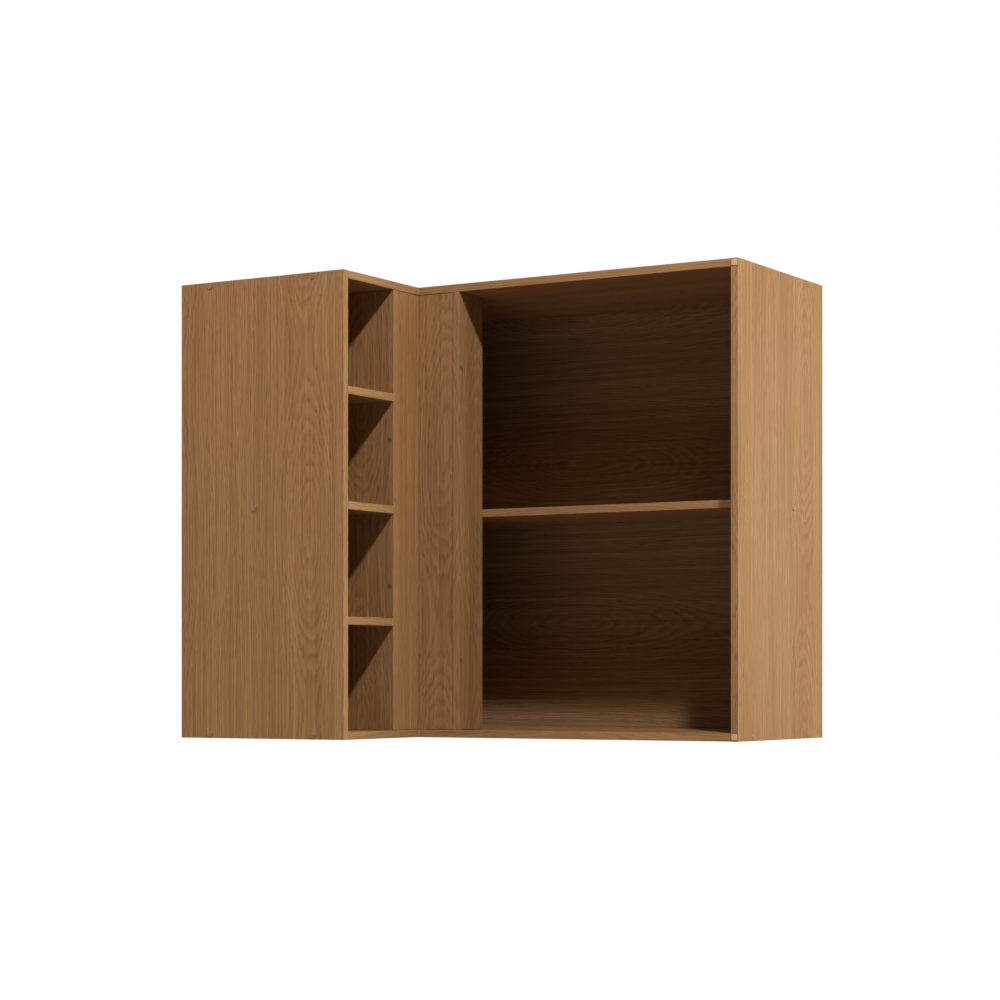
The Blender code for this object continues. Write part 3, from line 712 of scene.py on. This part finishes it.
def back_nails(node, axis, out):
    """Panel nails round a back: one shallow dome, repeated at every point in one array."""
    sweep = np.linspace(PI / 2, 0.3, 3)
    radius = np.concatenate([[0.9 * NAIL_HEAD], NAIL_HEAD * np.sin(sweep)])
    height = np.concatenate([[-NAIL_PROUD - 0.3 * MM], NAIL_PROUD * (np.cos(sweep) - 1)])
    dome, dome_faces = turned(radius, height, sides=10)
    low, high = (np.array(corner, float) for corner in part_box(node))
    first, second = (axis + 1) % 3, (axis + 2) % 3
    left, right = low[first] + NAIL_INSET, high[first] - NAIL_INSET
    front, back = low[second] + NAIL_INSET, high[second] - NAIL_INSET
    rows = [nail_line((left, front), (right, front)), nail_line((left, back), (right, back))]
    rows.append(nail_line((left, front), (left, back))[1:-1])
    rows.append(nail_line((right, front), (right, back))[1:-1])
    spots = np.concatenate(rows)
    spots = np.concatenate([spots, np.zeros((len(spots), 1))], axis=-1)
    surface = high[axis] if out > 0 else low[axis]
    dome = dome * (out, 1, out) + (0, 0, surface)
    vertices = (dome[None] + spots[:, None]).reshape(-1, 3)
    faces = [[corner + n * len(dome) for corner in face] for n in range(len(spots)) for face in dome_faces]
    piece = make_piece(f"{node}_nails", stand(vertices, axis), faces, [BRIGHT_ZINC])
    piece.data.shade_smooth()
    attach(piece, "root")


def wall_backs():
    """Both backs with their nails, and the wall holes through them and through the corner upright."""
    hole_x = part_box("bracket_right")[1][X] + GAP - HOLE_FROM_PANEL
    hole_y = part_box("bracket_left")[0][Y] - GAP + HOLE_FROM_PANEL
    upright_y = float(np.mean([corner[Y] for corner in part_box("rear_corner_upright")]))
    along_x = hardboard_back("oak_foil_on_pressed_hardboard_X", X, Y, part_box("back_panel_main")[0][Y])
    along_y = hardboard_back("oak_foil_on_pressed_hardboard_Y", Y, X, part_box("back_panel_side")[1][X])
    back_sheet("back_panel_main", Y, 1, along_x, [(hole_x, 0, 0)])
    back_sheet("back_panel_side", X, -1, along_y, [(0, hole_y, 0), (0, upright_y, 0)])
    drill(bpy.data.objects["rear_corner_upright_board"], [(0, upright_y, 0)], X)
    back_nails("back_panel_main", Y, 1)
    back_nails("back_panel_side", X, -1)


def dress(names, material):
    """Gives the nodes that stay as they are, hidden screws, brackets and dowels, their real finish."""
    for name in names:
        slots = bpy.data.objects[name].data.materials
        slots.clear()
        slots.append(material)


cover_caps()
seen_screws()
felt_pads()
wall_backs()
dress([name for name in node_names if name.startswith(("screw_", "bracket_"))], BRIGHT_ZINC)
dress([name for name in node_names if name.startswith("dowel_")], BEECH)

# ---------------------------------------------------------------- floor, light and camera


def studio():
    """White paper far below, a small hard key high at the right, soft fills all round and a weak sky."""
    floor_z = -2.05
    half = 40.0
    across = [(-half, -half), (half, -half), (half, half), (-half, half)]
    corners = np.array([(x, y, floor_z) for x, y in across])
    paper, tree, shader = new_material("white_paper_rolled")
    shader.inputs["Base Color"].default_value = linear("#FFFFFF")
    shader.inputs["Roughness"].default_value = 0.9
    shader.inputs["Emission Color"].default_value = (1, 1, 1, 1)
    shader.inputs["Emission Strength"].default_value = 1.0
    floor = make_piece("floor", corners, [[0, 1, 2, 3]], [paper])
    floor.visible_diffuse = False
    floor.visible_glossy = False

    def area(name, place, aim, size, power, color="#FFFFFF"):
        lamp = bpy.data.lights.new(name, "AREA")
        lamp.shape = "DISK" if size < 0.5 else "SQUARE"
        lamp.size = size
        lamp.energy = power
        lamp.color = linear(color)[:3]
        holder = bpy.data.objects.new(name, lamp)
        bpy.context.scene.collection.objects.link(holder)
        direction = np.array(aim) - np.array(place)
        holder.location = place
        yaw = math.atan2(direction[1], direction[0])
        pitch = math.atan2(direction[2], math.hypot(direction[0], direction[1]))
        holder.rotation_euler = (PI / 2 + pitch, 0, yaw - PI / 2)

    aim = (0.0, -0.25, -0.3)
    area("key", (1.61, -1.86, 1.83), aim, 0.20, 69.0, "#F9FFFF")
    area("high_front", (-0.5, -2.5, 3.2), aim, 2.0, 12.0)
    area("left", (-3.4, -2.2, 0.2), aim, 2.5, 74.0, "#FFECD0")
    area("right", (3.97, 0.22, 0.0), aim, 1.6, 131.0, "#F5FFF2")
    area("rear_right", (2.3, 3.3, -0.1), aim, 1.2, 14.0)
    area("low", (0.3, -1.5, -2.0), aim, 2.0, 11.0)
    area("behind", (-2.2, 3.2, 0.8), aim, 2.0, 170.0)

    world = bpy.data.worlds.new("sky")
    bpy.context.scene.world = world
    world.use_nodes = True
    tree = world.node_tree
    sky = tree.nodes["Background"]
    sky.inputs["Color"].default_value = linear("#F6FFEE")
    sky.inputs["Strength"].default_value = 0.09
    white = add(tree, "ShaderNodeBackground", {"Color": (1, 1, 1, 1), "Strength": 1.0})
    seen = add(tree, "ShaderNodeLightPath").outputs["Is Camera Ray"]
    both = add(tree, "ShaderNodeMixShader", {0: seen, 1: sky.outputs[0], 2: white.outputs[0]})
    tree.links.new(both.outputs[0], tree.nodes["World Output"].inputs["Surface"])
    bpy.context.scene.view_settings.view_transform = "Standard"


def camera():
    """A long lens level with the lower part of the cabinet, in front of it and well to its right."""
    lens = bpy.data.cameras.new("camera")
    lens.lens = 89.7
    lens.sensor_width = 36.0
    lens.shift_y = 0.1775
    holder = bpy.data.objects.new("camera", lens)
    bpy.context.scene.collection.objects.link(holder)
    holder.location = (1.973, -3.571, -0.557)
    holder.rotation_euler = (PI / 2, 0, math.radians(30.8))
    bpy.context.scene.camera = holder


studio()
camera()
